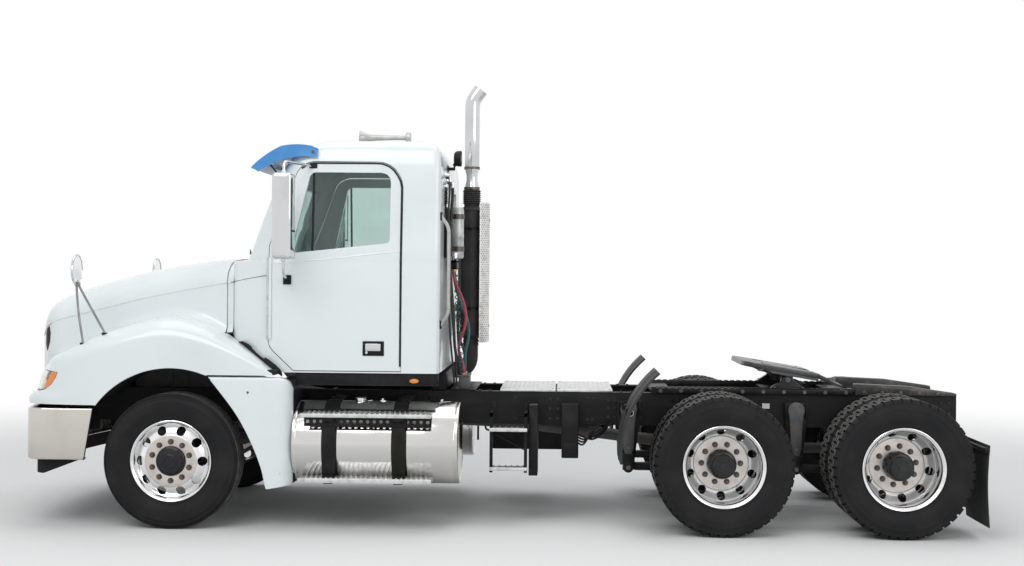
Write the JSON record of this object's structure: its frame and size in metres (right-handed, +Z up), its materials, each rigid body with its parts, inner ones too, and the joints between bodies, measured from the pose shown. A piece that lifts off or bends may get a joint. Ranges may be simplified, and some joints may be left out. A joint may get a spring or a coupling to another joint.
{
  "type": "semi truck tractor unit",
  "caption": "Day-cab truck tractor with tilting hood, opening doors, steered front wheels, tandem twin rear wheels and a fifth wheel for a semi-trailer.",
  "frame": {"origin": "middle of the outline on the ground", "axes": "+X forward along the frame, +Y to the truck's left, +Z up"},
  "size_m": [7.1598, 2.77, 3.5106],
  "materials": {
    "white_paint": "gloss",
    "chassis_black": "satin",
    "bumper_chrome": "polished",
    "cast_block": "rough",
    "polished_aluminium": "polished",
    "tread_plate": "satin",
    "rubber_black": "matte",
    "tyre_rubber": "matte",
    "glass_green": "clear",
    "visor_blue": "gloss",
    "chrome": "polished",
    "muffler_black": "matte",
    "interior_grey": "matte",
    "seat_fabric": "matte",
    "lamp_lens": "gloss",
    "liner_black": "matte",
    "grille_bright": "satin",
    "hose_red": "matte",
    "hose_blue": "matte",
    "hose_black": "matte",
    "steel_plain": "satin"
  },
  "bodies": {
    "chassis": {"frame_rails": "chassis_black", "crossmembers": "chassis_black", "bumper": "bumper_chrome", "engine": "cast_block", "front_axle": "chassis_black", "rear_axles": "chassis_black", "rear_suspension": "chassis_black", "fuel_tanks": "polished_aluminium", "tank_steps": "tread_plate", "splash_panels": "white_paint", "deck_plates": "tread_plate", "side_steps": "chassis_black", "slide_base": "chassis_black", "quarter_fenders": "liner_black", "mud_flaps": "rubber_black", "muffler": "muffler_black", "stack": "chrome", "hose_rack": "chassis_black", "hose_red": "hose_red", "hose_blue": "hose_blue", "hose_black": "hose_black", "cab_shell": "white_paint", "cab_glass": "glass_green", "cab_skirts": "rubber_black", "visor": "visor_blue", "horn": "chrome", "dashboard": "interior_grey", "seats": "seat_fabric", "grab_handles": "chrome", "work_light": "liner_black"},
    "hood": {"hood_shell": "white_paint", "fender_liners": "liner_black", "grille": "grille_bright", "headlamps": "lamp_lens", "hood_mirrors": "chrome"},
    "door_left": {"door_left": "white_paint", "door_left_glass": "glass_green", "mirror_left": "chrome"},
    "door_right": {"door_right": "white_paint", "door_right_glass": "glass_green", "mirror_right": "chrome"},
    "knuckle_left": {"knuckle_left": "steel_plain"},
    "knuckle_right": {"knuckle_right": "steel_plain"},
    "tie_rod": {"tie_rod": "steel_plain"},
    "wheel_front_left": {"tyre_front_left": "tyre_rubber", "wheel_front_left": "polished_aluminium"},
    "wheels_rear_1_left": {"tyres_rear_1_left": "tyre_rubber", "wheel_rear_1_left": "polished_aluminium"},
    "wheels_rear_2_left": {"tyres_rear_2_left": "tyre_rubber", "wheel_rear_2_left": "polished_aluminium"},
    "wheel_front_right": {"tyre_front_right": "tyre_rubber", "wheel_front_right": "polished_aluminium"},
    "wheels_rear_1_right": {"tyres_rear_1_right": "tyre_rubber", "wheel_rear_1_right": "polished_aluminium"},
    "wheels_rear_2_right": {"tyres_rear_2_right": "tyre_rubber", "wheel_rear_2_right": "polished_aluminium"},
    "fifth_wheel": {"fifth_wheel_plate": "steel_plain"}
  },
  "joints": [
    {"name": "hood_tilt", "type": "hinge", "parent": "chassis", "child": "hood", "pos_m": [3.538, 0, 0.8925], "axis": [0, 1, 0], "range_deg": [0, 60]},
    {"name": "door_left_swing", "type": "hinge", "parent": "chassis", "child": "door_left", "pos_m": [1.672, 1.02, 1.7], "axis": [0, 0, -1], "range_deg": [0, 70]},
    {"name": "door_right_swing", "type": "hinge", "parent": "chassis", "child": "door_right", "pos_m": [1.672, -1.02, 1.7], "axis": [0, 0, 1], "range_deg": [0, 70]},
    {"name": "steer_left", "type": "hinge", "parent": "chassis", "child": "knuckle_left", "pos_m": [2.353, 0.88, 0.498], "axis": [0, 0, 1], "range_deg": [-40, 40]},
    {"name": "steer_right", "type": "hinge", "parent": "chassis", "child": "knuckle_right", "pos_m": [2.353, -0.88, 0.498], "axis": [0, 0, 1], "range_deg": [-40, 40]},
    {"name": "tie_rod_pivot", "type": "hinge", "parent": "knuckle_left", "child": "tie_rod", "pos_m": [2.153, 0.88, 0.387], "axis": [0, 0, 1], "range_deg": [-40, 40]},
    {"name": "wheel_front_left_spin", "type": "hinge", "parent": "knuckle_left", "child": "wheel_front_left", "pos_m": [2.353, 1.035, 0.498], "axis": [0, 1, 0], "continuous": true},
    {"name": "wheels_rear_1_left_spin", "type": "hinge", "parent": "chassis", "child": "wheels_rear_1_left", "pos_m": [-1.686, 0.9125, 0.508], "axis": [0, 1, 0], "continuous": true},
    {"name": "wheels_rear_2_left_spin", "type": "hinge", "parent": "chassis", "child": "wheels_rear_2_left", "pos_m": [-2.97, 0.9125, 0.508], "axis": [0, 1, 0], "continuous": true},
    {"name": "wheel_front_right_spin", "type": "hinge", "parent": "knuckle_right", "child": "wheel_front_right", "pos_m": [2.353, -1.035, 0.498], "axis": [0, 1, 0], "continuous": true},
    {"name": "wheels_rear_1_right_spin", "type": "hinge", "parent": "chassis", "child": "wheels_rear_1_right", "pos_m": [-1.686, -0.9125, 0.508], "axis": [0, 1, 0], "continuous": true},
    {"name": "wheels_rear_2_right_spin", "type": "hinge", "parent": "chassis", "child": "wheels_rear_2_right", "pos_m": [-2.97, -0.9125, 0.508], "axis": [0, 1, 0], "continuous": true},
    {"name": "fifth_wheel_tilt", "type": "hinge", "parent": "chassis", "child": "fifth_wheel", "pos_m": [-2.252, 0, 1.092], "axis": [0, 1, 0], "range_deg": [0, 20]}
  ],
  "couplings": [
    {"joint": "steer_right", "follows": "steer_left", "ratio": 1},
    {"joint": "tie_rod_pivot", "follows": "steer_left", "ratio": -1}
  ]
}
